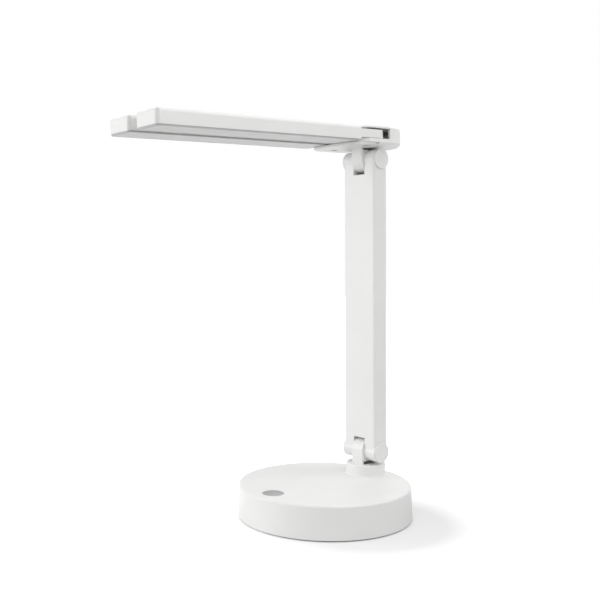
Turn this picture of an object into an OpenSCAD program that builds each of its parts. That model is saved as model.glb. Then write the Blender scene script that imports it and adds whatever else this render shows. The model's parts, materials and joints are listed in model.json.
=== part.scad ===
/* [Base] */
// Diameter of the base at its top edge
base_d = 160; // [140:1:170]
// Height of the base top above the table
base_h = 30; // [30:0.5:36]
// How much wider in radius the base is at its lower edge
base_draft = 0.8; // [0:0.1:1.5]
// Radius of the rounded top edge of the base
base_edge_r = 2; // [1:0.25:3]
// Wall thickness of the base shell
base_wall = 2.4; // [2:0.2:3]
// Height of the base shell's lower edge above the table
foot_gap = 1; // [0.6:0.1:1.2]
// Distance of the soft pad's edge from the base's lower edge
pad_inset = 2; // [1:0.5:8]

/* [Button] */
// Radius of the push button
button_r = 9.6; // [8:0.2:10.5]
// Distance of the button's centre from the front edge of the base
button_inset = 17.5; // [17:0.5:22]
// Travel of the button
button_travel = 0.6; // [0.3:0.1:0.8]

/* [Neck] */
// Distance of the neck's centre from the rear edge of the base
neck_inset = 24.5; // [22:0.5:26]
// Radius of the round neck collar
collar_r = 19; // [17:0.5:19.5]
// Height of the round neck collar
collar_h = 11; // [9:0.5:12]
// Radius of the soft edges of the collar
collar_edge_r = 1.2; // [0.5:0.1:2]

/* [Hinges] */
// Height of the lower hinge axis above the neck collar
axis_rise = 12.2; // [11.6:0.2:16]
// Radius of the hinge barrels and their end caps
barrel_r = 9.6; // [9.4:0.1:10.4]
// Thickness of the end caps on the barrels
cap_t = 1.5; // [1:0.1:2.5]
// Width of the tongues that turn in the forked arm ends
tongue_w = 13.4; // [11:0.1:14]
// Half thickness of the tongues, also the radius of their round ends
tongue_r = 12; // [11:0.1:12.4]
// Radius of the hinge pins
pin_r = 3; // [2.5:0.1:3.4]

/* [Arm] */
// Distance between the two hinge axes
arm_l = 281.8; // [250:0.2:300]
// Width of the arm
arm_w = 40.5; // [36:0.5:42]
// Thickness of the arm
arm_t = 17.8; // [15.6:0.2:18.4]
// Radius of the arm's long edges
arm_edge_r = 2.5; // [1:0.25:3]
// Wall thickness of the arm
arm_wall = 2.2; // [1.8:0.1:2.6]

/* [Head] */
// Forward droop of the head in degrees
head_droop = 2.3; // [0:0.1:10]
// Distance from the upper hinge axis to the tip of the light bars
head_reach = 262.5; // [200:0.5:270]
// Width of each light bar
bar_w = 32.5; // [30:0.5:33]
// Gap between the two light bars
bar_gap = 9; // [8:0.5:12]
// Height of the bar housings' lower edge above the hinge axis
bar_z = 15; // [14.2:0.1:19]
// Height of the bar housings
bar_h = 13; // [12.5:0.1:14]
// Radius of the long top edges of the bars
bar_edge_r = 3.5; // [2:0.25:4]
// Radius of the upright corners at the bar tips
bar_corner_r = 4.5; // [2.5:0.5:5]
// Wall thickness of the bar housings
bar_wall = 1.4; // [1.2:0.1:1.8]
// Distance of the bar pivots in front of the upper hinge axis
pivot_reach = 20.5; // [20:0.5:24]
// Number of light emitting diodes in each bar
led_count = 24; // [6:1:30]

/* [Hidden] */
$fn = 96;
eps = 0.01;
cut = 1;

// Fits
run_gap = 0.05;
slip_gap = 0.2;
seat_gap = 0.3;
side_gap = 0.6;

// Screws
screw_r = 1.5;
screw_head_r = 2.8;
small_screw_r = 1.2;
small_head_r = 2.4;
head_t = 1;

// Base
base_r = base_d / 2;
base_foot_r = base_r + base_draft;
base_inner_r = base_r - base_wall;
pad_r = base_foot_r - pad_inset;
top_t = 2.6;
top_under = base_h - top_t;
plate_t = 2.4;
plate_z = foot_gap - run_gap;
plate_top = plate_z + plate_t;
plate_r = base_inner_r - slip_gap;
boss_r = 4;
boss_wall_gap = 3.6;
base_screw_ring_r = base_inner_r - boss_r - boss_wall_gap;
base_screw_l = 10;
base_head_z = plate_z + slip_gap;
ballast_t = 12;
ballast_gap = 31.6;
ballast_r = base_inner_r - ballast_gap;
ballast_y = 8;

// Button and board
button_y = base_r - button_inset;
button_flange = 1.6;
button_flange_t = 1.2;
button_edge_r = 0.3;
stem_r = 2;
board_t = 1.6;
board_w = 44;
board_l = 22;
board_back = 14;
board_screw_l = 7;
board_post_x = board_w / 2 - boss_r;
switch_w = 6;
switch_h = 3.6;
plunger_r = 1.7;
plunger_h = 1.2;
plunger_guide = 0.9;
plunger_depth = button_travel + plunger_guide;
stem_l = 7;
flange_under = top_under - slip_gap - button_flange_t;
stem_end = top_under - cut - stem_l;
switch_top = stem_end - plunger_h;
board_top = switch_top - switch_h;
board_z = board_top - board_t;

// Battery and socket
cell_r = 9;
cell_l = 65;
holder_lip = 1;
holder_end = 3.5;
holder_t = 1.6;
cell_z = plate_top + holder_t + cell_r;
cell_y = board_back + seat_gap + holder_lip + cell_r - button_y;
ballast_front = cell_y + cell_r + holder_lip + seat_gap;
socket_w = 9;
socket_h = 3.3;
socket_l = 7.5;
socket_wall = 0.4;
socket_z = 8;
socket_foot = 4;
socket_back = 1.2;

// Neck
neck_y = base_r - neck_inset;
collar_z = base_h + collar_h;
spigot_r = 9.5;
spigot_drop = 2;
wire_r = 2;
wire_back = 6;
neck_screw_ring_r = 13.2;
neck_screw_l = 9;

// Hinges
low_z = collar_z + axis_rise;
high_z = low_z + arm_l;
tongue_left = -tongue_w / 2;
slot_w = tongue_w + 2 * side_gap;
slot_left = tongue_left - side_gap;
cap_plug = 2;
plug_gap = 0.1;
cap_rim = 0.5;
cap_disc_t = cap_t - seat_gap;
cap_edge_r = cap_disc_t - cap_rim;
spring_t = 0.8;
spring_r = 5.5;
nut_t = 2.4;
nut_r = 5.8;
counter_r = 7.6;
washer_r = 9.4;
washer_t = side_gap - 2 * run_gap;
pin_head_r = 5.4;
pin_head_t = 2.4;
arm_hw = arm_w / 2;
arm_ht = arm_t / 2;
stack_t = 2 * (spring_t + run_gap) + nut_t;
lug_floor = arm_hw - cap_plug - seat_gap - stack_t;
slot_side_gap = 1.2;
slot_rise_gap = 0.8;
slot_drop_gap = 2.4;
slot_r = tongue_r + slot_side_gap;
slot_rise = tongue_r + slot_rise_gap;
slot_drop = tongue_r + slot_drop_gap;
chamber_wall = 2.4;
chamber_deep = 3;
chamber_lip = 1.5;
chamber_start = washer_r + seat_gap;

// Arm
room_end = 24;
room_w = 24;
room_l = arm_l - 2 * room_end;
cover_t = 1.8;
cover_lap = 2;
cover_w = room_w + 2 * cover_lap;
cover_margin = 4;
cover_l = room_l - 2 * cover_margin;
post_r = 3.5;
cover_screw_z = cover_l / 2 - 2 * post_r;
cover_screw_l = 8;
cover_seat = arm_ht - cover_t;
arm_mid_z = (low_z + high_z) / 2;
strand_r = 0.65;
strand_step = 1.4;

// Head
bar_r = bar_w / 2;
pivot_x = bar_gap / 2 + bar_r;
head_hw = bar_gap / 2 + bar_w;
knuckle_l = 22;
bar_back = pivot_reach + knuckle_l;
bar_l = head_reach - bar_back;
bar_top = bar_z + bar_h;
frame_drop = 1.2;
swing_gap = 0.4;
hub_gap = 2.2;
hub_r = knuckle_l - hub_gap;
flange_t = 2;
flange_top = bar_z - frame_drop - swing_gap;
flange_z = flange_top - flange_t;
hub_rise = 1.6;
hub_top = bar_z + hub_rise;
knuckle_z = hub_top + seat_gap;
lid_t = 1.7;
lid_rise = 1.6;
cover_z = bar_top - lid_t;
knuckle_top = cover_z - lid_rise;
lid_seat_z = cover_z - seat_gap;
drum_r = head_hw;
drum_y = 4.5;
drum_front = 17.5;
flange_hw = 34;
flange_lap = 5;
flange_front = bar_back + flange_lap;
flange_back = 6.5;
flange_corner_r = 20;
wall_t = 2.5;
wall_drop = 0.9;
wall_gap = 0.35;
wall_top = bar_top - wall_drop;
wall_front = pivot_reach - bar_r - wall_gap;
lid_back = 4.5;
lid_gap = 0.4;
lid_corner_r = 12;
pivot_screw_r = 2;
pivot_head_r = 3.2;
pivot_head_rise = 0.6;
pivot_head_z = flange_z + pivot_head_rise;
pivot_grip = 1;
bush_r = 4;

// Light bars
frame_inset = 0.5;
frame_rim = 2.4;
lens_t = 1.2;
lens_corner_r = 2;
tenon_w = 20;
tenon_l = 16;
tenon_step = 1;
tenon_z = knuckle_z + tenon_step;
bar_screw_x = 6;
bar_screw_back = 5;
bar_screw_y = knuckle_l + tenon_l - bar_screw_back;
bar_screw_skin = 2;
led_board_w = 28;
led_board_t = 1.2;
led_board_drop = 5.4;
led_z = bar_top - led_board_drop;
roof_under = led_z + led_board_t;
tenon_t = roof_under - plug_gap - tenon_z;
led_w = 3;
led_t = 0.7;
led_back_gap = 6;
led_tip_gap = 12;
led_start = knuckle_l + tenon_l + led_back_gap;
led_end = head_reach - pivot_reach - led_tip_gap;
led_margin = 4;
board_ledge = 0.5;
roof_room_w = led_board_w - 2 * board_ledge;
roof_t = 2.4;

// Disc with a rounded top edge
module soft_disc(r, h, edge) {
    rotate_extrude() {
        square([r - edge, h]);
        square([r, h - edge]);
        translate([r - edge, h - edge]) intersection() {
            circle(edge);
            square(edge);
        }
    }
}

// Flat rectangle with round corners, centred on the origin
module round_rect(w, l, r) {
    square([w - 2 * r, l], center = true);
    square([w, l - 2 * r], center = true);
    for (sx = [-1, 1], sy = [-1, 1]) translate([sx * (w / 2 - r), sy * (l / 2 - r)]) circle(r);
}

// Screw with its head below z = 0 and its shank above
module screw(r, l, head_r) {
    translate([0, 0, -head_t]) cylinder(r = head_r, h = head_t);
    translate([0, 0, -eps]) cylinder(r = r, h = l + eps);
}

// Cylinder along X, from one side plane to another
module x_rod(r, x0, x1) {
    translate([x0, 0, 0]) rotate([0, 90, 0]) cylinder(r = r, h = x1 - x0);
}

// Ring along X
module x_ring(r_out, r_in, x0, x1) {
    difference() {
        x_rod(r_out, x0, x1);
        x_rod(r_in, x0 - cut, x1 + cut);
    }
}

module at_neck() { translate([0, neck_y, 0]) children(); }
module at_button() { translate([0, -button_y, 0]) children(); }
module at_low() { translate([0, neck_y, low_z]) children(); }
module at_high() { translate([0, neck_y, high_z]) children(); }
module at_head() { at_high() rotate([head_droop, 0, 0]) children(); }
module at_right_pivot() { at_head() translate([pivot_x, -pivot_reach, 0]) children(); }
module at_left_pivot() { at_head() mirror([1, 0, 0]) translate([pivot_x, -pivot_reach, 0]) children(); }
module at_both_pivots() { for (sx = [-1, 1]) translate([sx * pivot_x, -pivot_reach, 0]) children(); }

// Places of the four screws of the base plate
module at_base_screws() {
    for (a = [45:90:315]) rotate(a) translate([base_screw_ring_r, 0, 0]) children();
}

// Places of the three screws that hold the neck
module at_neck_screws() {
    at_neck() for (a = [30:120:270]) rotate(a) translate([neck_screw_ring_r, 0, 0]) children();
}

// Places of the two screws of the control board
module at_board_screws() {
    at_button() for (sx = [-1, 1]) translate([sx * board_post_x, 0, 0]) children();
}

// Places of the two screws of the arm's cover, with Z out of the back of the arm
module at_cover_screws() {
    for (sz = [-1, 1]) translate([0, neck_y, arm_mid_z + sz * cover_screw_z]) rotate([-90, 0, 0])
        children();
}

// Places of the two screws of one light bar
module at_bar_screws() {
    for (sx = [-1, 1]) translate([sx * bar_screw_x, -bar_screw_y, 0]) children();
}

module base_shell() {
    color("white") difference() {
        union() {
            rotate_extrude() difference() {
                union() {
                    polygon([
                        [0, foot_gap], [base_foot_r, foot_gap],
                        [base_r, base_h - base_edge_r], [0, base_h - base_edge_r]
                    ]);
                    translate([0, foot_gap]) square([base_r - base_edge_r, base_h - foot_gap]);
                    translate([base_r - base_edge_r, base_h - base_edge_r]) circle(base_edge_r);
                }
                square([base_inner_r, top_under]);
            }
            at_base_screws() translate([0, 0, plate_top])
                cylinder(r = boss_r, h = top_under - plate_top + eps);
            at_board_screws() translate([0, 0, board_top])
                cylinder(r = boss_r, h = top_under - board_top + eps);
        }
        at_button() translate([0, 0, top_under - cut])
            cylinder(r = button_r + slip_gap, h = top_t + 2 * cut);
        at_neck() translate([0, 0, top_under - cut])
            cylinder(r = spigot_r + slip_gap, h = top_t + 2 * cut);
        at_neck_screws() translate([0, 0, top_under - cut])
            cylinder(r = screw_r + slip_gap, h = top_t + 2 * cut);
        at_base_screws() translate([0, 0, base_head_z + head_t])
            cylinder(r = screw_r, h = base_screw_l + cut);
        at_board_screws() translate([0, 0, board_z]) cylinder(r = small_screw_r, h = board_screw_l);
        translate([0, base_inner_r - socket_foot, socket_z]) rotate([90, 0, 180])
            linear_extrude(base_foot_r)
                round_rect(socket_w + 2 * slip_gap, socket_h + 2 * slip_gap, socket_h / 2);
    }
}

module base_plate() {
    color("dimgray") difference() {
        translate([0, 0, plate_z]) cylinder(r = plate_r, h = plate_t);
        at_base_screws() {
            translate([0, 0, plate_z - cut]) cylinder(r = screw_r + slip_gap, h = plate_t + 2 * cut);
            translate([0, 0, plate_z - cut])
                cylinder(r = screw_head_r + slip_gap, h = cut + slip_gap + head_t);
        }
    }
}

module base_pad() {
    color("gray") cylinder(r = pad_r, h = plate_z);
}

module base_screws() {
    color("silver") at_base_screws() translate([0, 0, base_head_z + head_t])
        screw(screw_r, base_screw_l, screw_head_r);
}

module ballast_weight() {
    color("slategray") intersection() {
        translate([0, ballast_y, plate_top]) cylinder(r = ballast_r, h = ballast_t);
        translate([-ballast_r, ballast_front, plate_top])
            cube([2 * ballast_r, 2 * ballast_r, ballast_t]);
    }
}

module button_cap() {
    color("darkgray") at_button() {
        translate([0, 0, flange_under]) soft_disc(button_r, base_h - flange_under, button_edge_r);
        translate([0, 0, flange_under]) cylinder(r = button_r + button_flange, h = button_flange_t);
        translate([0, 0, stem_end]) cylinder(r = stem_r, h = stem_l);
    }
}

module switch_plunger() {
    plunger_z = switch_top - plunger_depth + button_travel + run_gap;
    color("black") at_button() translate([0, 0, plunger_z])
        cylinder(r = plunger_r, h = stem_end - plunger_z);
}

module switch_body() {
    color("silver") at_button() difference() {
        translate([-switch_w / 2, -switch_w / 2, board_top]) cube([switch_w, switch_w, switch_h]);
        translate([0, 0, switch_top - plunger_depth])
            cylinder(r = plunger_r + run_gap, h = plunger_depth + cut);
    }
}

module control_board() {
    color("seagreen") difference() {
        at_button() translate([-board_w / 2, board_back - board_l, board_z])
            cube([board_w, board_l, board_t]);
        at_board_screws() translate([0, 0, board_z - cut])
            cylinder(r = small_screw_r + slip_gap, h = board_t + 2 * cut);
    }
}

module board_screws() {
    color("silver") at_board_screws() translate([0, 0, board_z])
        screw(small_screw_r, board_screw_l, small_head_r);
}

module battery_cell() {
    color("teal") translate([0, cell_y, cell_z]) x_rod(cell_r, -cell_l / 2, cell_l / 2);
}

module battery_holder() {
    holder_w = cell_l + 2 * holder_end;
    cell_room = cell_l + 2 * run_gap;
    color("black") translate([-holder_w / 2, cell_y - cell_r - holder_lip, plate_top]) difference() {
        cube([holder_w, 2 * (cell_r + holder_lip), holder_t + cell_r]);
        translate([(holder_w - cell_room) / 2, holder_lip + cell_r, holder_t + cell_r])
            x_rod(cell_r + run_gap, 0, cell_room);
    }
}

// Rounded outline of the charging socket
module socket_plan(inset) {
    round_rect(socket_w - 2 * inset, socket_h - 2 * inset, socket_h / 2 - inset - eps);
}

module charge_socket() {
    color("silver") translate([0, base_r - socket_l, socket_z]) {
        rotate([90, 0, 180]) difference() {
            linear_extrude(socket_l) socket_plan(0);
            translate([0, 0, socket_back]) linear_extrude(socket_l) socket_plan(socket_wall);
        }
        translate([-socket_w / 2 + socket_h / 2, 0, plate_top - socket_z])
            cube([socket_w - socket_h, socket_foot, socket_z - plate_top - socket_h / 2 + socket_wall / 2]);
    }
}

// Round-ended tongue, pointing down from the hinge axis
module tongue(drop) {
    x_rod(tongue_r, tongue_left, tongue_left + tongue_w);
    translate([tongue_left, -tongue_r, -drop]) cube([tongue_w, 2 * tongue_r, drop]);
}

// Room for the wires in a tongue, open to the right, below the washers
module wire_chamber(drop) {
    translate([tongue_left + chamber_wall, -tongue_r + chamber_wall, -drop - chamber_deep]) cube([
        tongue_w - chamber_wall + chamber_lip, 2 * (tongue_r - chamber_wall),
        drop + chamber_deep - chamber_start
    ]);
}

module neck() {
    spigot_z = top_under - spigot_drop;
    color("white") difference() {
        union() {
            at_neck() translate([0, 0, base_h]) soft_disc(collar_r, collar_h, collar_edge_r);
            at_neck() translate([0, 0, base_h]) rotate_extrude() difference() {
                square([collar_r + collar_edge_r, collar_edge_r]);
                translate([collar_r + collar_edge_r, collar_edge_r]) circle(collar_edge_r);
            }
            at_neck() translate([0, 0, spigot_z]) cylinder(r = spigot_r, h = base_h - spigot_z + eps);
            at_low() tongue(low_z - collar_z + cut);
        }
        at_low() x_rod(pin_r + run_gap, -arm_w, arm_w);
        at_low() wire_chamber(low_z - collar_z);
        at_neck() translate([0, wire_back, spigot_z - cut])
            cylinder(r = wire_r, h = low_z + tongue_r - spigot_z + cut);
        at_neck_screws() translate([0, 0, base_h - cut]) cylinder(r = screw_r, h = neck_screw_l);
    }
}

module neck_screws() {
    color("silver") at_neck_screws() translate([0, 0, top_under])
        screw(screw_r, neck_screw_l, screw_head_r);
}

// Parts of one hinge, around its axis
module hinge_pin() {
    color("silver") {
        x_rod(pin_r, -lug_floor - stack_t, lug_floor + eps);
        x_rod(pin_head_r, lug_floor, lug_floor + pin_head_t);
    }
}

module hinge_nut() {
    color("silver") translate([-lug_floor - stack_t, 0, 0]) difference() {
        rotate([0, 90, 0]) cylinder(r = nut_r, h = nut_t, $fn = 6);
        x_rod(pin_r + run_gap, -cut, nut_t + cut);
    }
}

module hinge_springs() {
    color("gray") for (i = [0, 1]) translate([-lug_floor - i * (spring_t + run_gap), 0, 0])
        x_ring(spring_r, pin_r + run_gap, -spring_t, 0);
}

module hinge_washers() {
    color("gainsboro") for (x = [slot_left, tongue_left + tongue_w])
        x_ring(washer_r, pin_r + run_gap, x + run_gap, x + run_gap + washer_t);
}

module hinge_caps() {
    color("white") for (sx = [0, 1]) mirror([sx, 0, 0]) {
        translate([arm_hw + seat_gap, 0, 0]) rotate([0, 90, 0])
            soft_disc(barrel_r, cap_disc_t, cap_edge_r);
        x_rod(counter_r - plug_gap, arm_hw - cap_plug, arm_hw + seat_gap + eps);
    }
}

module lower_pin() { at_low() hinge_pin(); }
module lower_nut() { at_low() hinge_nut(); }
module lower_springs() { at_low() hinge_springs(); }
module lower_washers() { at_low() hinge_washers(); }
module lower_caps() { at_low() hinge_caps(); }
module upper_pin() { at_high() hinge_pin(); }
module upper_nut() { at_high() hinge_nut(); }
module upper_springs() { at_high() hinge_springs(); }
module upper_washers() { at_high() hinge_washers(); }
module upper_caps() { at_high() hinge_caps(); }

// Bores of one forked arm end, and its slot, open to the room in the middle of the arm
module fork_bores(side) {
    x_rod(pin_r + run_gap, -arm_w, arm_w);
    x_rod(counter_r, lug_floor, arm_w);
    x_rod(counter_r, -arm_w, -lug_floor);
    x_rod(slot_r, slot_left, slot_left + slot_w);
    mirror([0, 0, side]) translate([slot_left, -arm_ht + arm_wall, 0])
        cube([slot_w, arm_t - 2 * arm_wall, room_end + cut]);
}

module arm_body() {
    color("white") difference() {
        union() {
            at_low() linear_extrude(arm_l) round_rect(arm_w, arm_t, arm_edge_r);
            at_low() x_rod(barrel_r, -arm_hw, arm_hw);
            at_high() x_rod(barrel_r, -arm_hw, arm_hw);
        }
        at_low() {
            translate([slot_left, -slot_r, -slot_r]) cube([slot_w, 2 * slot_r, slot_r]);
            translate([slot_left, -slot_r, -eps]) cube([slot_w, slot_r, slot_rise + eps]);
            fork_bores(0);
        }
        at_high() {
            translate([slot_left, -slot_r, 0]) cube([slot_w, 2 * slot_r, slot_r]);
            translate([slot_left, -slot_r, -slot_drop]) cube([slot_w, slot_r, slot_drop + eps]);
            fork_bores(1);
        }
        difference() {
            at_low() translate([-room_w / 2, -arm_ht + arm_wall, room_end])
                cube([room_w, arm_ht - arm_wall + cover_seat + eps, room_l]);
            at_cover_screws() translate([0, 0, -arm_ht]) cylinder(r = post_r, h = arm_t);
        }
        at_low() translate([-cover_w / 2, cover_seat, room_end + cover_margin])
            cube([cover_w, cover_t + cut, cover_l]);
        at_cover_screws() translate([0, 0, cover_seat - cover_screw_l])
            cylinder(r = small_screw_r, h = arm_t);
    }
}

module arm_cover() {
    color("white") difference() {
        at_low() translate([-cover_w / 2 + slip_gap, cover_seat, room_end + cover_margin + slip_gap])
            cube([cover_w - 2 * slip_gap, cover_t, cover_l - 2 * slip_gap]);
        at_cover_screws() {
            cylinder(r = small_screw_r + slip_gap, h = arm_t);
            translate([0, 0, arm_ht - head_t - slip_gap])
                cylinder(r = small_head_r + slip_gap, h = arm_t);
        }
    }
}

module arm_cover_screws() {
    color("silver") at_cover_screws() translate([0, 0, arm_ht - head_t - slip_gap]) mirror([0, 0, 1])
        screw(small_screw_r, cover_screw_l - cut, small_head_r);
}

module arm_cable() {
    color("dimgray") at_low() for (i = [0:3])
        translate([2 * post_r + i * strand_step, 0, room_end]) cylinder(r = strand_r, h = room_l);
}

// Plan of the drum at the rear of the bracket, cut off at a given depth
module drum_plan(r, front) {
    intersection() {
        union() {
            translate([0, -drum_y]) circle(r);
            translate([-r, -pivot_reach]) square([2 * r, pivot_reach - drum_y]);
        }
        translate([-2 * r, -front]) square([4 * r, 3 * r]);
    }
}

// Plan of the thin flange under the bars
module flange_plan() {
    translate([0, -(flange_front + flange_back) / 2])
        round_rect(2 * flange_hw, flange_front - flange_back, flange_corner_r);
}

// Slanted foot of the drum, as thick as the flange
module drum_foot() {
    intersection() {
        translate([0, -drum_y, flange_z]) cylinder(r1 = drum_r - flange_t, r2 = drum_r, h = flange_t);
        translate([-drum_r, -drum_y - eps, flange_z]) cube([2 * drum_r, 2 * drum_r, flange_t]);
    }
    translate([0, -drum_y, flange_z]) rotate([90, 0, 0]) linear_extrude(drum_front - drum_y) polygon([
        [-drum_r + flange_t, 0], [drum_r - flange_t, 0], [drum_r, flange_t], [-drum_r, flange_t]
    ]);
}

// Plan of two discs around the pivots and the bridge between them
module seat_plan() {
    for (sx = [-1, 1]) translate([sx * pivot_x, -pivot_reach]) circle(hub_r);
    translate([-pivot_x, -pivot_reach - hub_r]) square([2 * pivot_x, hub_r]);
}

// Plan of the raised seats on the bracket
module hub_plan() {
    intersection() {
        seat_plan();
        translate([-head_hw, -bar_back]) square([2 * head_hw, bar_back - drum_y]);
    }
    drum_plan(drum_r, pivot_reach);
}

// Plan of the lid over the two pivots
module lid_plan(extra) {
    w = 2 * (head_hw + extra);
    intersection() {
        union() {
            seat_plan();
            translate([-w, -pivot_reach]) square([2 * w, pivot_reach + 2 * lid_back + extra]);
        }
        translate([0, (lid_back + extra - bar_back) / 2])
            round_rect(w, bar_back + lid_back + extra, lid_corner_r);
    }
}

module head_bracket() {
    color("white") at_head() difference() {
        union() {
            translate([0, 0, flange_z]) linear_extrude(flange_t) flange_plan();
            drum_foot();
            translate([0, 0, flange_top - eps]) linear_extrude(hub_top - flange_top + eps) hub_plan();
            translate([0, 0, hub_top - eps]) linear_extrude(wall_top - hub_top + eps)
                drum_plan(drum_r, wall_front);
            rotate([180, 0, 0]) tongue(flange_z + eps);
        }
        translate([0, 0, hub_top]) linear_extrude(lid_seat_z - hub_top)
            drum_plan(drum_r - wall_t, wall_front + cut);
        translate([0, 0, lid_seat_z - eps]) linear_extrude(bar_h) intersection() {
            translate([-2 * drum_r, -wall_front - cut])
                square([4 * drum_r, wall_front + cut + lid_back + lid_gap]);
            lid_plan(lid_gap);
        }
        at_both_pivots() {
            translate([0, 0, flange_z - cut]) cylinder(r = pivot_screw_r + slip_gap, h = hub_top);
            translate([0, 0, flange_z - cut])
                cylinder(r = pivot_head_r + slip_gap, h = pivot_head_z - flange_z + head_t + cut);
        }
        x_rod(pin_r + run_gap, -arm_w, arm_w);
        rotate([180, 0, 0]) wire_chamber(flange_z);
        translate([0, wire_back, -tongue_r]) cylinder(r = wire_r, h = tongue_r + hub_top + cut);
    }
}

module bracket_cover() {
    color("white") at_head() difference() {
        translate([0, 0, cover_z]) linear_extrude(bar_top - cover_z) lid_plan(0);
        at_both_pivots() translate([0, 0, cover_z - cut])
            cylinder(r = pivot_screw_r, h = cut + pivot_grip + slip_gap);
    }
}

module pivot_screws() {
    color("dimgray") at_head() at_both_pivots() translate([0, 0, pivot_head_z + head_t])
        screw(pivot_screw_r, cover_z + pivot_grip - pivot_head_z - head_t, pivot_head_r);
}

module pivot_bushes() {
    color("gold") at_head() at_both_pivots() translate([0, 0, hub_top]) difference() {
        cylinder(r = bush_r, h = cover_z - hub_top);
        translate([0, 0, -cut]) cylinder(r = pivot_screw_r + slip_gap, h = cover_z - hub_top + 2 * cut);
    }
}

// Plan of a light bar, around its pivot with the tip towards -Y
module bar_plan(inset, corner) {
    translate([0, -knuckle_l - bar_l / 2]) round_rect(bar_w - 2 * inset, bar_l - 2 * inset, corner);
}

module bar_housing() {
    color("white") difference() {
        intersection() {
            translate([0, -knuckle_l, 0]) rotate([90, 0, 0]) linear_extrude(bar_l) {
                translate([-bar_r, bar_z]) square([bar_w, bar_h - bar_edge_r]);
                translate([-bar_r + bar_edge_r, bar_z]) square([bar_w - 2 * bar_edge_r, bar_h]);
                for (sx = [-1, 1]) translate([sx * (bar_r - bar_edge_r), bar_top - bar_edge_r])
                    circle(bar_edge_r);
            }
            translate([0, 0, bar_z]) linear_extrude(bar_h) {
                bar_plan(0, bar_corner_r);
                translate([-bar_r, -knuckle_l - tenon_l]) square([bar_w, tenon_l]);
            }
            translate([-bar_r, -knuckle_l - bar_l, 0]) rotate([90, 0, 90]) linear_extrude(bar_w) {
                translate([0, bar_z]) square([bar_l, bar_h - bar_edge_r]);
                translate([bar_edge_r, bar_z]) square([bar_l - bar_edge_r, bar_h]);
                translate([bar_edge_r, bar_top - bar_edge_r]) circle(bar_edge_r);
            }
        }
        translate([0, 0, bar_z - cut]) linear_extrude(roof_under - bar_z + cut)
            bar_plan(bar_wall, bar_corner_r - bar_wall);
        translate([-roof_room_w / 2, -led_end, bar_z])
            cube([roof_room_w, led_end - led_start, bar_h - roof_t]);
        at_bar_screws() translate([0, 0, bar_z]) cylinder(r = screw_r, h = bar_h - bar_screw_skin);
        translate([-tenon_w / 2 - plug_gap, -knuckle_l - bar_wall - cut, tenon_z - plug_gap])
            cube([tenon_w + 2 * plug_gap, bar_wall + 2 * cut, tenon_t + 2 * plug_gap]);
    }
}

module bar_knuckle() {
    knuckle_h = knuckle_top - knuckle_z;
    color("white") difference() {
        union() {
            translate([0, 0, knuckle_z]) cylinder(r = bar_r, h = knuckle_h);
            translate([-bar_r, -knuckle_l, knuckle_z]) cube([bar_w, knuckle_l, knuckle_h]);
            translate([-tenon_w / 2, -knuckle_l - tenon_l, tenon_z])
                cube([tenon_w, tenon_l + cut, tenon_t]);
        }
        translate([0, 0, knuckle_z - cut]) cylinder(r = bush_r + run_gap, h = knuckle_h + 2 * cut);
        at_bar_screws() translate([0, 0, tenon_z - cut]) cylinder(r = screw_r, h = tenon_t + 2 * cut);
    }
}

module bar_frame() {
    color("gray") translate([0, 0, bar_z - frame_drop]) linear_extrude(frame_drop) difference() {
        bar_plan(frame_inset, bar_corner_r - frame_inset);
        bar_plan(frame_inset + frame_rim, bar_corner_r - frame_rim);
    }
}

module bar_diffuser() {
    color("gainsboro") {
        translate([0, 0, bar_z - frame_drop]) linear_extrude(frame_drop + eps)
            bar_plan(frame_inset + frame_rim + plug_gap, bar_corner_r - frame_rim - plug_gap);
        translate([0, 0, bar_z]) linear_extrude(lens_t) bar_plan(bar_wall + slip_gap, lens_corner_r);
    }
}

module bar_led_board() {
    color("white") translate([-led_board_w / 2, -led_end - led_margin, led_z])
        cube([led_board_w, led_end - led_start + 2 * led_margin, led_board_t]);
}

module bar_leds() {
    step = (led_end - led_start) / (led_count - 1);
    color("khaki") for (i = [0:led_count - 1])
        translate([-led_w / 2, -led_start - i * step - led_w / 2, led_z - led_t])
            cube([led_w, led_w, led_t]);
}

module bar_screws() {
    color("silver") at_bar_screws() translate([0, 0, tenon_z])
        screw(screw_r, bar_top - bar_screw_skin - tenon_z, screw_head_r);
}

module right_knuckle() { at_right_pivot() bar_knuckle(); }
module right_housing() { at_right_pivot() bar_housing(); }
module right_frame() { at_right_pivot() bar_frame(); }
module right_diffuser() { at_right_pivot() bar_diffuser(); }
module right_led_board() { at_right_pivot() bar_led_board(); }
module right_leds() { at_right_pivot() bar_leds(); }
module right_bar_screws() { at_right_pivot() bar_screws(); }
module left_knuckle() { at_left_pivot() bar_knuckle(); }
module left_housing() { at_left_pivot() bar_housing(); }
module left_frame() { at_left_pivot() bar_frame(); }
module left_diffuser() { at_left_pivot() bar_diffuser(); }
module left_led_board() { at_left_pivot() bar_led_board(); }
module left_leds() { at_left_pivot() bar_leds(); }
module left_bar_screws() { at_left_pivot() bar_screws(); }

base_shell();
base_plate();
ballast_weight();
base_pad();
base_screws();
button_cap();
switch_plunger();
switch_body();
control_board();
board_screws();
battery_cell();
battery_holder();
charge_socket();
neck();
neck_screws();
lower_pin();
lower_nut();
lower_springs();
lower_washers();
lower_caps();
arm_body();
arm_cover();
arm_cover_screws();
arm_cable();
upper_pin();
upper_nut();
upper_springs();
upper_washers();
upper_caps();
head_bracket();
bracket_cover();
pivot_screws();
pivot_bushes();
right_knuckle();
right_housing();
right_frame();
right_diffuser();
right_led_board();
right_leds();
right_bar_screws();
left_knuckle();
left_housing();
left_frame();
left_diffuser();
left_led_board();
left_leds();
left_bar_screws();
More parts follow.
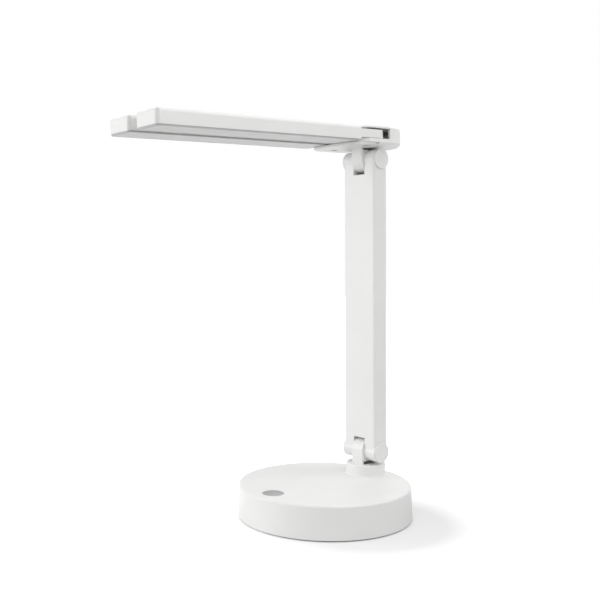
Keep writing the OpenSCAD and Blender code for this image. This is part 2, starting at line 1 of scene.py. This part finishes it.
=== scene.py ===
# %% [markdown]
# # A folding desk lamp, dressed
#
# The lamp arrives as an exact engineering model: forty-seven named nodes that already fit
# and move, each made of one or more solids. This lesson gives it its looks. It sets up the
# camera, makes the finishes from what the real materials are, and rebuilds the pieces whose
# edges and corners show. Everything is in metres, in the frame of the engineering model, and
# a value in millimetres is multiplied by MM.

# %% Load the frame and the tools
import json
import math

import bmesh
import bpy
from mathutils import Matrix, Vector


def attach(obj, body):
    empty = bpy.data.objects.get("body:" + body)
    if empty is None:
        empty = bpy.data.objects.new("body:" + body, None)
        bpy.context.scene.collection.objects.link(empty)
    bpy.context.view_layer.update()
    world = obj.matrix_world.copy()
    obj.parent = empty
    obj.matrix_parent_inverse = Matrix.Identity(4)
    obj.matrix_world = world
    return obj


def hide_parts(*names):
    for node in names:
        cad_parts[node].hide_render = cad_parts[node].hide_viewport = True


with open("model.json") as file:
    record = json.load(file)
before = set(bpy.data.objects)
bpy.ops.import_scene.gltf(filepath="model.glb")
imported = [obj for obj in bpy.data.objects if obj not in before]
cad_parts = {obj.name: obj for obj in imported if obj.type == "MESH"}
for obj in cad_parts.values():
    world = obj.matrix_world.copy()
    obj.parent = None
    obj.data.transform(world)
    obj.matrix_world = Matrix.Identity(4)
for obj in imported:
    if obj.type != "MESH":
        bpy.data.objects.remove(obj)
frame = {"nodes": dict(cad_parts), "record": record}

MM = 0.001
bpy.context.scene.view_settings.view_transform = "Standard"
nodes = frame["nodes"]
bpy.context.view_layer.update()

# %% [markdown]
# ## Camera
#
# A product picture of a small lamp is taken from a little under a metre away. The camera is
# held nearly level, so that upright lines stay nearly upright. Here it is set from its place,
# its heading and its tilt. It could be pointed at the lamp's middle, but that would lean the
# arm. The lens is shifted a little instead, as on a view camera, which only moves the picture.

# %% Set the camera
CAMERA_AT = Vector((573.76, -545.27, 232.53)) * MM
CAMERA_HEADING = math.radians(51.53)
CAMERA_RISE = math.radians(0.54)
SENSOR_MM = 36
LENS_MM = 50.43
LENS_SHIFT = (0.0841, -0.0709)
camera = bpy.data.objects.new("camera", bpy.data.cameras.new("camera"))
bpy.context.scene.collection.objects.link(camera)
camera.location = CAMERA_AT
camera.rotation_euler = (math.radians(90) + CAMERA_RISE, 0, CAMERA_HEADING)
camera.data.sensor_width = SENSOR_MM
camera.data.lens = LENS_MM
camera.data.shift_x, camera.data.shift_y = LENS_SHIFT
camera.data.clip_start = 0.01
bpy.context.scene.camera = camera
print("camera is", round(CAMERA_AT.length, 3), "m from the middle of the base")

# %% [markdown]
# ## Helpers for materials
#
# A finish is a small network of shader nodes. Three functions are enough to write one
# clearly: one turns a colour given for a screen into the linear colour that the renderer adds
# up, one adds a shader node with its settings and its links, and one starts an empty network.

# %% Define the helpers for materials
def linear(hex_colour):
    """The linear colour of an sRGB hex value, such as ECECEB."""
    channels = [int(hex_colour[i:i + 2], 16) / 255 for i in (0, 2, 4)]
    return tuple(c / 12.92 if c < 0.04045 else ((c + 0.055) / 1.055) ** 2.4 for c in channels) + (1,)


def add(tree, kind, values=None, links=None, **settings):
    """Adds a shader node: settings are its properties, values its sockets, links what feeds them."""
    node = tree.nodes.new(kind)
    for name, value in settings.items():
        setattr(node, name, value)
    for name, value in (values or {}).items():
        node.inputs[name].default_value = value
    for name, source in (links or {}).items():
        tree.links.new(source, node.inputs[name])
    return node


def new_tree(name):
    """An empty material and its node tree."""
    material = bpy.data.materials.new(name)
    material.use_nodes = True
    material.node_tree.nodes.clear()
    return material, material.node_tree


print("white plastic is", [round(c, 3) for c in linear("ECECEB")[:3]], "in linear light")

# %% [markdown]
# ## Moulded plastics
#
# The lamp is moulded in ABS, a tough plastic that takes a clean white. The steel mould is
# spark-eroded, which leaves a grain of a tenth of a millimetre or two. That is too fine to
# show, so it is drawn about a third of a millimetre wide. It breaks up the reflections, so
# the surface looks satin, neither glossy nor chalky. The colour also drifts by a percent or
# two over a few centimetres, where the melt flowed and cooled.
#
# One function makes every moulded finish: a slow drift between two near colours, a fine grain
# in the height and a little of it in the roughness. A painted image could do the same, but it
# would need unwrapped pieces, and the grain would stretch at every corner.

# %% Define moulded plastics
DRIFT_MM = 45.0
SPECK_GRAINS = 4
SPECK_SHARE = 0.35
GRAIN_IN_ROUGHNESS = 0.05
GLOW_DEPTH_MM = 1.5


def moulded(name, light, dark, roughness, grain_mm, grain_depth, ior=1.54, subsurface=0.0):
    """A moulded plastic: a drift between two colours, a grain of grain_mm, and its roughness."""
    material, tree = new_tree(name)
    place = add(tree, "ShaderNodeTexCoord").outputs["Object"]
    drift = add(tree, "ShaderNodeTexNoise", {"Scale": 1 / (DRIFT_MM * MM), "Detail": 2.0}, {"Vector": place})
    speck = add(tree, "ShaderNodeTexNoise", {"Scale": 1 / (SPECK_GRAINS * grain_mm * MM), "Detail": 3.0},
                {"Vector": place})
    both = add(tree, "ShaderNodeMath", {1: SPECK_SHARE}, {0: speck.outputs["Fac"], 2: drift.outputs["Fac"]},
               operation="MULTIPLY_ADD")
    spread = add(tree, "ShaderNodeMapRange", {"From Min": 0.5, "From Max": 0.85}, {"Value": both.outputs[0]})
    colour = add(tree, "ShaderNodeMix", {"A": linear(dark), "B": linear(light)},
                 {"Factor": spread.outputs["Result"]}, data_type="RGBA")
    grain = add(tree, "ShaderNodeTexNoise", {"Scale": 1 / (grain_mm * MM), "Detail": 2.0, "Roughness": 0.6},
                {"Vector": place})
    rough = add(tree, "ShaderNodeMapRange",
                {"To Min": roughness - GRAIN_IN_ROUGHNESS, "To Max": roughness + GRAIN_IN_ROUGHNESS},
                {"Value": grain.outputs["Fac"]})
    bump = add(tree, "ShaderNodeBump", {"Strength": 0.25, "Distance": grain_depth * MM},
               {"Height": grain.outputs["Fac"]})
    shader = add(tree, "ShaderNodeBsdfPrincipled", {"IOR": ior, "Subsurface Weight": subsurface},
                 {"Base Color": colour.outputs["Result"], "Roughness": rough.outputs["Result"],
                  "Normal": bump.outputs["Normal"]})
    if subsurface:
        shader.inputs["Subsurface Radius"].default_value = (1.0, 1.0, 1.0)
        shader.inputs["Subsurface Scale"].default_value = GLOW_DEPTH_MM * MM
    add(tree, "ShaderNodeOutputMaterial", links={"Surface": shader.outputs["BSDF"]})
    return material


# Satin white: its highlights are wide and soft, with no mirror image in them.
white_abs = moulded("white moulded ABS, spark-eroded satin", "ECECEB", "E9E9E8", 0.42, 0.35, 0.02)
# The plate under the base is a plain dull grey.
base_grey = moulded("grey moulded ABS, plain", "6C6D6F", "646567", 0.5, 0.4, 0.05)
# The frames of the light bars draw a light grey line against the white. Their grey is partly painted shade:
# it stands for the shade in the gap between each housing and its window.
frame_grey_with_painted_shade = moulded("grey moulded ABS, satin, with painted gap shade", "B4B4B4", "ADADAD", 0.45, 0.35, 0.03)
# Silicone is matte, so the dish of the button shades without a clear highlight.
button_grey = moulded("grey moulded silicone, matte", "B4B4B4", "AEAEAE", 0.62, 0.3, 0.04, ior=1.42)
# Nylon swallows most of the light and keeps a dull sheen.
black_nylon = moulded("black moulded nylon, matte", "1D1D1E", "161617", 0.55, 0.4, 0.05)
# Frosted polycarbonate lets some light in and spreads it, so it looks milky.
opal = moulded("opal polycarbonate, frosted", "E3E3E2", "DEDEDD", 0.5, 0.5, 0.03, ior=1.585, subsurface=0.25)
# Acetal looks waxy: a warm white with a faint shine.
acetal = moulded("natural acetal, turned", "E9E8E2", "E2E1DA", 0.35, 0.5, 0.02, ior=1.48)
# Cut foam shows its opened cells as a coarse dark grain.
pad_foam = moulded("closed-cell EVA foam, cut", "4A4A4C", "3E3E40", 0.85, 0.8, 0.3, ior=1.45)
# A shrink sleeve is thin and tight, so it has a clear highlight along the cell.
battery_sleeve = moulded("PVC shrink sleeve, glossy", "2F7F92", "2A7486", 0.3, 2.0, 0.03, ior=1.53)
# An extruded sleeve is smooth and shows one long, soft highlight.
cable_sleeve = moulded("PVC wire sleeve, extruded", "2A2A2C", "222224", 0.45, 0.5, 0.02, ior=1.53)
# Solder mask is a glassy varnish, here an even green over the laminate.
green_mask = moulded("green solder mask on glass laminate", "1F6B3C", "1A5E34", 0.35, 0.6, 0.02)
# The boards of the diodes are varnished white, which throws their light forward.
white_mask = moulded("white solder mask on aluminium board", "E9E9E4", "E2E2DC", 0.35, 0.6, 0.02)
# Phosphor is a yellow powder in a clear gel, so it looks bright and wet.
phosphor = moulded("yellow phosphor in silicone gel", "E8CF6A", "DFC45C", 0.25, 0.5, 0.01, ior=1.42)
print("moulded finishes:", len(bpy.data.materials))

# %% [markdown]
# ## Metals
#
# Most screws, the pins, the nuts and the springs are zinc-plated steel, which is bright with
# a faint cloudy pattern from the plating bath. The screws under the head are black. The
# bushes are turned brass, and the ballast is grey iron, rough from its sand mould. A metal
# takes its whole colour from its reflection, so each one has the metallic slider at one and
# its usual brightness as its colour.

# %% Define metals
PATTERN_IN_ROUGHNESS = 0.08


def metal(name, light, dark, roughness, pattern_mm, depth, stretch=(1.0, 1.0, 1.0)):
    """A metal with a pattern of pattern_mm in colour, roughness and height, stretched if wanted."""
    material, tree = new_tree(name)
    place = add(tree, "ShaderNodeTexCoord").outputs["Object"]
    drawn = add(tree, "ShaderNodeMapping", {"Scale": stretch}, {"Vector": place}).outputs["Vector"]
    cloud = add(tree, "ShaderNodeTexNoise", {"Scale": 1 / (pattern_mm * MM), "Detail": 4.0},
                {"Vector": drawn})
    colour = add(tree, "ShaderNodeMix", {"A": linear(dark), "B": linear(light)},
                 {"Factor": cloud.outputs["Fac"]}, data_type="RGBA")
    rough = add(tree, "ShaderNodeMapRange",
                {"To Min": roughness - PATTERN_IN_ROUGHNESS, "To Max": roughness + PATTERN_IN_ROUGHNESS},
                {"Value": cloud.outputs["Fac"]})
    bump = add(tree, "ShaderNodeBump", {"Strength": 0.3, "Distance": depth * MM},
               {"Height": cloud.outputs["Fac"]})
    shader = add(tree, "ShaderNodeBsdfPrincipled", {"Metallic": 1.0},
                 {"Base Color": colour.outputs["Result"], "Roughness": rough.outputs["Result"],
                  "Normal": bump.outputs["Normal"]})
    add(tree, "ShaderNodeOutputMaterial", links={"Surface": shader.outputs["BSDF"]})
    return material


# Zinc plating is bright and a little cloudy.
zinc = metal("zinc-plated steel, bright", "C9CACC", "B9BABD", 0.3, 1.5, 0.01)
# Black oxide is dark and evenly satin.
black_steel = metal("black-oxide steel", "3A3A3C", "2E2E30", 0.4, 0.8, 0.01)
# Turning leaves fine marks in brass, drawn here as streaks in a warm yellow.
brass = metal("turned brass", "D9B978", "CBA863", 0.25, 0.4, 0.01, (8.0, 1.0, 1.0))
# Iron from a sand mould is dull and pitted.
grey_iron = metal("grey cast iron, sand-moulded", "77787A", "5F6062", 0.6, 1.2, 0.15)
print("finishes in all:", len(bpy.data.materials))

# %% [markdown]
# ## Dress the nodes
#
# Each node gets the finish of what it is made of. Inner pieces are dressed too, because the
# lamp can be opened, and a finish costs nothing. The list goes from a finish to its nodes.

# %% Give each node its finish
def dress(piece, material):
    """Gives a piece one finish, in place of what it had."""
    piece.data.materials.clear()
    piece.data.materials.append(material)


finishes = [
    (white_abs, "base_shell neck lower_caps upper_caps arm_body arm_cover head_bracket bracket_cover"),
    (white_abs, "right_knuckle left_knuckle right_housing left_housing"),
    (base_grey, "base_plate"),
    # The frames' grey is partly painted shade, for the gap between each housing and its window.
    (frame_grey_with_painted_shade, "right_frame left_frame"),
    (button_grey, "button_cap"),
    (black_nylon, "switch_plunger battery_holder"),
    (opal, "right_diffuser left_diffuser"),
    (acetal, "lower_washers upper_washers"),
    (pad_foam, "base_pad"),
    (battery_sleeve, "battery_cell"),
    (cable_sleeve, "arm_cable"),
    (green_mask, "control_board"),
    (white_mask, "right_led_board left_led_board"),
    (phosphor, "right_leds left_leds"),
    (zinc, "base_screws board_screws switch_body charge_socket neck_screws arm_cover_screws"),
    (zinc, "lower_pin lower_nut lower_springs upper_pin upper_nut upper_springs"),
    (zinc, "right_bar_screws left_bar_screws"),
    (black_steel, "pivot_screws"),
    (brass, "pivot_bushes"),
    (grey_iron, "ballast_weight"),
]
dressed = 0
for material, names in finishes:
    for name in names.split():
        dress(nodes[name], material)
        dressed += 1
assert dressed == len(nodes)
print("dressed nodes:", dressed)

# %% [markdown]
# ## Finish a piece
#
# A rebuilt piece needs more than its shape: the body that it moves with, and the nodes that it
# stands for, if any, which are then hidden. The record of the engineering model gives each
# node's body and its material slot, and the body is used. So one function can finish any
# piece from the name of a node and a list of what it replaces.
#
# Moulded faces look round where they meet at a small angle and keep a crisp edge where they
# meet at a large one. A Weighted Normal modifier keeps the large faces flat to the eye.

# %% Define how a piece is finished
SHARP_TURN = math.radians(30.0)
SLOTS = {m["node"]: m["material_slot"] for m in frame["record"]["subparts"]}
BODY_OF = {n: body for body, names in frame["record"]["behaviour"]["bodies"].items() for n in names}


def finish_piece(piece, material, node, replaced=()):
    """Dresses a piece, puts it on the body of a node and hides the nodes it replaces."""
    body, slot = BODY_OF[node], SLOTS[node]
    dress(piece, material)
    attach(piece, body)
    if replaced:
        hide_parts(*replaced)


def from_bmesh(name, work):
    """Makes an object from a bmesh, with smooth shading except at its sharp edges."""
    mesh = bpy.data.meshes.new(name)
    work.to_mesh(mesh)
    work.free()
    for face in mesh.polygons:
        face.use_smooth = True
    mesh.set_sharp_from_angle(angle=SHARP_TURN)
    piece = bpy.data.objects.new(name, mesh)
    bpy.context.scene.collection.objects.link(piece)
    return piece


def keep_flats(piece):
    """Lets the large faces decide the shading, so that only the narrow bevels look round."""
    shading = piece.modifiers.new("flat faces stay flat", "WEIGHTED_NORMAL")
    shading.mode = "FACE_AREA"
    shading.keep_sharp = True


print("bodies:", sorted(set(BODY_OF.values())))

# %% [markdown]
# ## Softened mouldings
#
# No moulded edge is sharp: the mould's corners have a radius of a few tenths of a millimetre,
# and that radius catches a thin line of light. The engineering model leaves most of them out.
#
# A copy of the node's mesh is welded, its flat faces are joined, and every edge that turns
# by more than thirty degrees is bevelled. The Bevel modifier could do this too, but the mesh
# is made of loose triangles, so it needs the welding first.

# %% Soften the mouldings
WELD_MM = 0.0005
FLAT_TURN = math.radians(0.5)


def welded(node):
    """A bmesh of a node, with its loose triangles welded and its flat faces joined."""
    work = bmesh.new()
    work.from_mesh(nodes[node].data)
    bmesh.ops.remove_doubles(work, verts=work.verts, dist=WELD_MM * MM)
    bmesh.ops.dissolve_limit(work, angle_limit=FLAT_TURN, verts=work.verts, edges=work.edges,
                             use_dissolve_boundaries=False)
    return work


def soften(node, radius_mm):
    """Puts a copy with each sharp edge rounded by radius_mm in place of a node."""
    work = welded(node)
    sharp = [e for e in work.edges if e.is_manifold and e.calc_face_angle() > SHARP_TURN]
    bmesh.ops.bevel(work, geom=sharp, offset=radius_mm * MM, offset_type="OFFSET", affect="EDGES",
                    segments=2, profile=0.5, material=-1, clamp_overlap=True)
    piece = from_bmesh(node + "_soft", work)
    keep_flats(piece)
    print(node, "edges rounded:", len(sharp), "faces:", len(piece.data.polygons))
    finish_piece(piece, nodes[node].data.materials[0], node, (node,))


soften("base_shell", 0.25)
soften("neck", 0.5)
soften("arm_body", 0.4)
soften("arm_cover", 0.3)
soften("lower_caps", 0.4)
soften("upper_caps", 0.4)
soften("head_bracket", 0.35)
soften("bracket_cover", 0.4)
for side in ("right", "left"):
    soften(side + "_knuckle", 0.4)
    soften(side + "_housing", 0.25)

# %% [markdown]
# ## Push button
#
# The button is a silicone cap with a dish, so that a finger finds its middle. Under its
# rounded rim the dish has a steep shoulder, and the part of it at the far side faces the eye
# and shows as a dark line.
#
# It could be a cylinder with its top face pushed in, but a dish is a surface of revolution,
# so half of its section is drawn and spun about the button's axis. Below the rim the section
# follows the engineering model, with its flange and its stem.

# %% Spin the button
def box_of(node):
    """The lowest and the highest corner of a node."""
    corners = [nodes[node].matrix_world @ v.co for v in nodes[node].data.vertices]
    return (Vector([min(c[i] for c in corners) for i in range(3)]),
            Vector([max(c[i] for c in corners) for i in range(3)]))


BUTTON_R = 9.6
BUTTON_FLANGE = 1.6
BUTTON_FLANGE_T = 1.2
BUTTON_RISE = 4.0
STEM_R = 2.0
DISH_DEPTH = 1.6
SHOULDER_DEPTH = 1.3
SHOULDER_W = 1.0
RIM_R = 0.5
SPIN_STEPS = 96
CLOSE_MM = 0.001
button_low, button_high = box_of("button_cap")
button_axis = (button_low + button_high) / 2
button_top = button_high.z / MM
button_base = button_top - BUTTON_RISE
flange_r = BUTTON_R + BUTTON_FLANGE
flange_top = button_base + BUTTON_FLANGE_T
rim_arc = [(BUTTON_R - RIM_R * (1 - math.sin(a)), button_top - RIM_R * (1 - math.cos(a)))
           for a in (math.radians(turn) for turn in (90, 60, 30, 0))]
dish_r = BUTTON_R - RIM_R - SHOULDER_W
dish_arc = [(dish_r * k, button_top - DISH_DEPTH + (DISH_DEPTH - SHOULDER_DEPTH) * k * k)
            for k in (1, 0.75, 0.5, 0.25, 0)]
section = [(0, button_low.z / MM), (STEM_R, button_low.z / MM), (STEM_R, button_base),
           (flange_r, button_base), (flange_r, flange_top), (BUTTON_R, flange_top), *rim_arc, *dish_arc]
button_work = bmesh.new()
turned = [button_work.verts.new((button_axis.x + r * MM, button_axis.y, z * MM)) for r, z in section]
for below, above in zip(turned, turned[1:]):
    button_work.edges.new((below, above))
bmesh.ops.spin(button_work, geom=button_work.verts[:] + button_work.edges[:], cent=button_axis,
               axis=(0, 0, 1), angle=math.tau, steps=SPIN_STEPS, use_merge=True)
bmesh.ops.remove_doubles(button_work, verts=button_work.verts, dist=CLOSE_MM * MM)
bmesh.ops.recalc_face_normals(button_work, faces=button_work.faces)
button = from_bmesh("button_dish", button_work)
finish_piece(button, button_grey, "button_cap", ("button_cap",))
print("button is", 2 * BUTTON_R, "mm wide with a dish of", DISH_DEPTH, "mm")

# %% [markdown]
# ## Screw heads
#
# The screws at the back of the arm and under the head show their heads, which have a cross
# recess for the screwdriver. Those of the base have it too, but the pad hides them. The
# recess could be cut with a Boolean modifier. Here the round face of the head is divided by
# eight planes instead, and the cross that they leave is pushed in, which keeps the mesh clean.

# %% Press the cross recesses
RECESS_W = 0.7
RECESS_L = 2.6
RECESS_DEPTH = 0.7
# A face is a screw's head if it fills this share of the head's circle and faces outward.
HEAD_SHARE = 0.8
FACING = 0.9


def press_crosses(node, outward, head_r, material):
    """Puts a copy with a cross pressed into each head in place of a node of screws."""
    work = welded(node)
    smallest = HEAD_SHARE * math.pi * (head_r * MM) ** 2
    heads = [f for f in work.faces if f.calc_area() > smallest and f.normal.dot(outward) > FACING]
    across = Vector((1, 0, 0))
    along = outward.cross(across)
    for face in heads:
        middle = face.calc_center_bounds()
        pieces = [face]
        for direction in (across, along):
            for reach in (-RECESS_L / 2, -RECESS_W / 2, RECESS_W / 2, RECESS_L / 2):
                edges = {e for f in pieces for e in f.edges}
                corners = {v for f in pieces for v in f.verts}
                geometry = [*pieces, *edges, *corners]
                cut = bmesh.ops.bisect_plane(work, geom=geometry, dist=CLOSE_MM * MM,
                                             plane_co=middle + direction * reach * MM, plane_no=direction)
                pieces = [g for g in cut["geom"] if isinstance(g, bmesh.types.BMFace)]
        cross = []
        for part in pieces:
            offset = part.calc_center_median() - middle
            reaches = sorted((abs(offset.dot(across)) / MM, abs(offset.dot(along)) / MM))
            if reaches[0] < RECESS_W / 2 and reaches[1] < RECESS_L / 2:
                cross.append(part)
        floor_of_recess = bmesh.ops.extrude_face_region(work, geom=cross)["geom"]
        bmesh.ops.delete(work, geom=cross, context="FACES")
        pushed = [g for g in floor_of_recess if isinstance(g, bmesh.types.BMVert)]
        bmesh.ops.translate(work, verts=pushed, vec=-outward * RECESS_DEPTH * MM)
    piece = from_bmesh(node + "_cross", work)
    keep_flats(piece)
    print(node, "heads:", len(heads))
    finish_piece(piece, material, node, (node,))


HEAD_DROOP = math.radians(2.3)
BACKWARD = Vector((0, 1, 0))
UNDER_HEAD = Vector((0, math.sin(HEAD_DROOP), -math.cos(HEAD_DROOP)))
DOWN = Vector((0, 0, -1))
COVER_SCREW_R = 2.4
PIVOT_SCREW_R = 3.2
BASE_SCREW_R = 2.8
press_crosses("arm_cover_screws", BACKWARD, COVER_SCREW_R, zinc)
press_crosses("pivot_screws", UNDER_HEAD, PIVOT_SCREW_R, black_steel)
press_crosses("base_screws", DOWN, BASE_SCREW_R, zinc)

# %% [markdown]
# ## Inside the charging socket
#
# A socket of this kind is a drawn steel shell around a black plastic tongue, which carries a
# row of gilded contacts on both sides. They could be painted on the tongue as a pattern, but
# a real contact stands a little proud, so each one is a thin block, made in a loop. The brass
# finish stands for their gold.

# %% Make the socket's tongue
def block(work, middle, size):
    """Adds a block to a bmesh, by its middle and its size in millimetres."""
    place = Matrix.Translation(Vector(middle) * MM) @ Matrix.Diagonal((*(Vector(size) * MM), 1.0))
    bmesh.ops.create_cube(work, size=1.0, matrix=place)


TONGUE_W = 6.6
TONGUE_T = 0.7
TONGUE_L = 4.8
TONGUE_INSET = 1.0
TONGUE_EDGE_R = 0.12
SOCKET_H = 3.3
CONTACTS = 12
CONTACT_STEP = 0.5
CONTACT_W = 0.25
CONTACT_T = 0.06
CONTACT_SHORTER = 1.0
socket_high = box_of("charge_socket")[1]
socket_z = socket_high.z / MM - SOCKET_H / 2
tongue_y = socket_high.y / MM - TONGUE_INSET - TONGUE_L / 2
tongue_work = bmesh.new()
block(tongue_work, (0, tongue_y, socket_z), (TONGUE_W, TONGUE_L, TONGUE_T))
bmesh.ops.bevel(tongue_work, geom=tongue_work.edges[:], offset=TONGUE_EDGE_R * MM, offset_type="OFFSET",
                affect="EDGES", segments=2, profile=0.5, material=-1)
finish_piece(from_bmesh("socket_tongue", tongue_work), black_nylon, "charge_socket")
contact_work = bmesh.new()
for side in (-1, 1):
    for i in range(CONTACTS):
        x = (i - (CONTACTS - 1) / 2) * CONTACT_STEP
        block(contact_work, (x, tongue_y, socket_z + side * TONGUE_T / 2),
              (CONTACT_W, TONGUE_L - CONTACT_SHORTER, CONTACT_T))
finish_piece(from_bmesh("socket_contacts", contact_work), brass, "charge_socket")
print("contacts:", 2 * CONTACTS)

# %% [markdown]
# ## Table
#
# The lamp stands on a white table. The table throws back half of its light, which sets how
# dark the undersides of the head are. A white board on it at the left in front throws back
# most of its light, which lifts the side of the base there. The board is drawn as a lighter
# patch of the table for the light alone: the camera sees one even colour.
#
# The picture could be whitened with more light, but then the lamp's own whites would lose
# their shape. So the white of the table comes from a glow that is only there for what looks
# at it directly, and the glow fades near the lamp, where its shadow has to show.

# %% Make the table
def seen_directly(tree):
    """One for camera, mirror and glass rays, and zero for those that carry light between things."""
    path = add(tree, "ShaderNodeLightPath")
    seen = path.outputs["Is Camera Ray"]
    for ray in ("Is Glossy Ray", "Is Transmission Ray"):
        either = add(tree, "ShaderNodeMath", links={0: seen, 1: path.outputs[ray]}, operation="MAXIMUM")
        seen = either.outputs[0]
    return seen


SHADOW_MIDDLE = (0.045, 0.01, 0.0)
SHADOW_REACH = (0.07, 0.2)
BOARD_MIDDLE = (-0.07, -0.09, 0.0)
BOARD_REACH = (0.09, 0.23)
FLOOR_HALF = 4.0
WHITE = (1, 1, 1, 1)
floor_material, floor_tree = new_tree("white painted table, matte")
floor_place = add(floor_tree, "ShaderNodeTexCoord").outputs["Object"]
from_board = add(floor_tree, "ShaderNodeVectorMath", {1: BOARD_MIDDLE}, {0: floor_place},
                 operation="DISTANCE")
past_board = add(floor_tree, "ShaderNodeMapRange", {"From Min": BOARD_REACH[0], "From Max": BOARD_REACH[1]},
                 {"Value": from_board.outputs["Value"]})
board_colour = add(floor_tree, "ShaderNodeMix", {"A": linear("ECECEC"), "B": linear("BABABA")},
                   {"Factor": past_board.outputs["Result"]}, data_type="RGBA")
floor_seen = add(floor_tree, "ShaderNodeLightPath").outputs["Is Camera Ray"]
floor_colour = add(floor_tree, "ShaderNodeMix", {"B": linear("EDEDED")},
                   {"Factor": floor_seen, "A": board_colour.outputs["Result"]}, data_type="RGBA")
floor_paint = add(floor_tree, "ShaderNodeBsdfDiffuse", links={"Color": floor_colour.outputs["Result"]})
from_shadow = add(floor_tree, "ShaderNodeVectorMath", {1: SHADOW_MIDDLE}, {0: floor_place},
                  operation="DISTANCE")
fade = add(floor_tree, "ShaderNodeMapRange",
           {"From Min": SHADOW_REACH[0], "From Max": SHADOW_REACH[1], "To Min": 0.01, "To Max": 1.0},
           {"Value": from_shadow.outputs["Value"]})
amount = add(floor_tree, "ShaderNodeMath", links={0: seen_directly(floor_tree), 1: fade.outputs["Result"]},
             operation="MULTIPLY")
glow = add(floor_tree, "ShaderNodeEmission", {"Color": WHITE}, {"Strength": amount.outputs[0]})
lit_and_white = add(floor_tree, "ShaderNodeAddShader", links={0: floor_paint.outputs[0], 1: glow.outputs[0]})
add(floor_tree, "ShaderNodeOutputMaterial", links={"Surface": lit_and_white.outputs[0]})
floor_work = bmesh.new()
bmesh.ops.create_grid(floor_work, x_segments=1, y_segments=1, size=FLOOR_HALF)
floor = from_bmesh("floor", floor_work)
dress(floor, floor_material)
print("table is", 2 * FLOOR_HALF, "m wide")

# %% [markdown]
# ## Light
#
# The room is a white studio. One soft box stands low at the left in front and one hangs
# overhead, and these two give the lamp most of its light. Weaker ones stand in front and
# behind. A small one stands near the head at the right, which makes the head's side lighter
# than the arm's, and the room fills the rest. A single strong lamp could do, but its shadows
# would be hard. None stands behind the camera, so corners that face it look a little darker.
# What looks at the room directly sees it full white.

# %% Light the studio
WORLD_LIGHT = 0.55
world = bpy.data.worlds.new("white studio")
bpy.context.scene.world = world
world.use_nodes = True
world_tree = world.node_tree
world_tree.nodes.clear()
level = add(world_tree, "ShaderNodeMapRange", {"To Min": WORLD_LIGHT, "To Max": 1.0},
            {"Value": seen_directly(world_tree)})
sky = add(world_tree, "ShaderNodeBackground", {"Color": WHITE}, {"Strength": level.outputs["Result"]})
add(world_tree, "ShaderNodeOutputWorld", links={"Surface": sky.outputs[0]})


def soft_lamp(name, place, target, size, watts):
    """A square lamp at a place, facing a target; all but its power is in metres."""
    data = bpy.data.lights.new(name, "AREA")
    data.shape = "SQUARE"
    data.size = size
    data.energy = watts
    lamp = bpy.data.objects.new(name, data)
    bpy.context.scene.collection.objects.link(lamp)
    lamp.location = place
    lamp.rotation_euler = (Vector(target) - Vector(place)).to_track_quat("-Z", "Y").to_euler()


MIDDLE = (0.0, -0.05, 0.15)
HEAD = (0.0, -0.08, 0.33)
soft_lamp("left box", (-1.73, -1.78, 0.67), MIDDLE, 1.3, 21.5)
soft_lamp("front box", (0.0, -2.5, 0.67), MIDDLE, 1.3, 4.8)
soft_lamp("right box", (0.55, -0.1, 0.43), HEAD, 0.3, 0.72)
soft_lamp("back box", (1.25, 1.2, 1.92), MIDDLE, 1.3, 10.0)
soft_lamp("top box", (0.0, -0.05, 3.0), MIDDLE, 1.8, 25.0)
print("lamps:", len(bpy.data.lights))
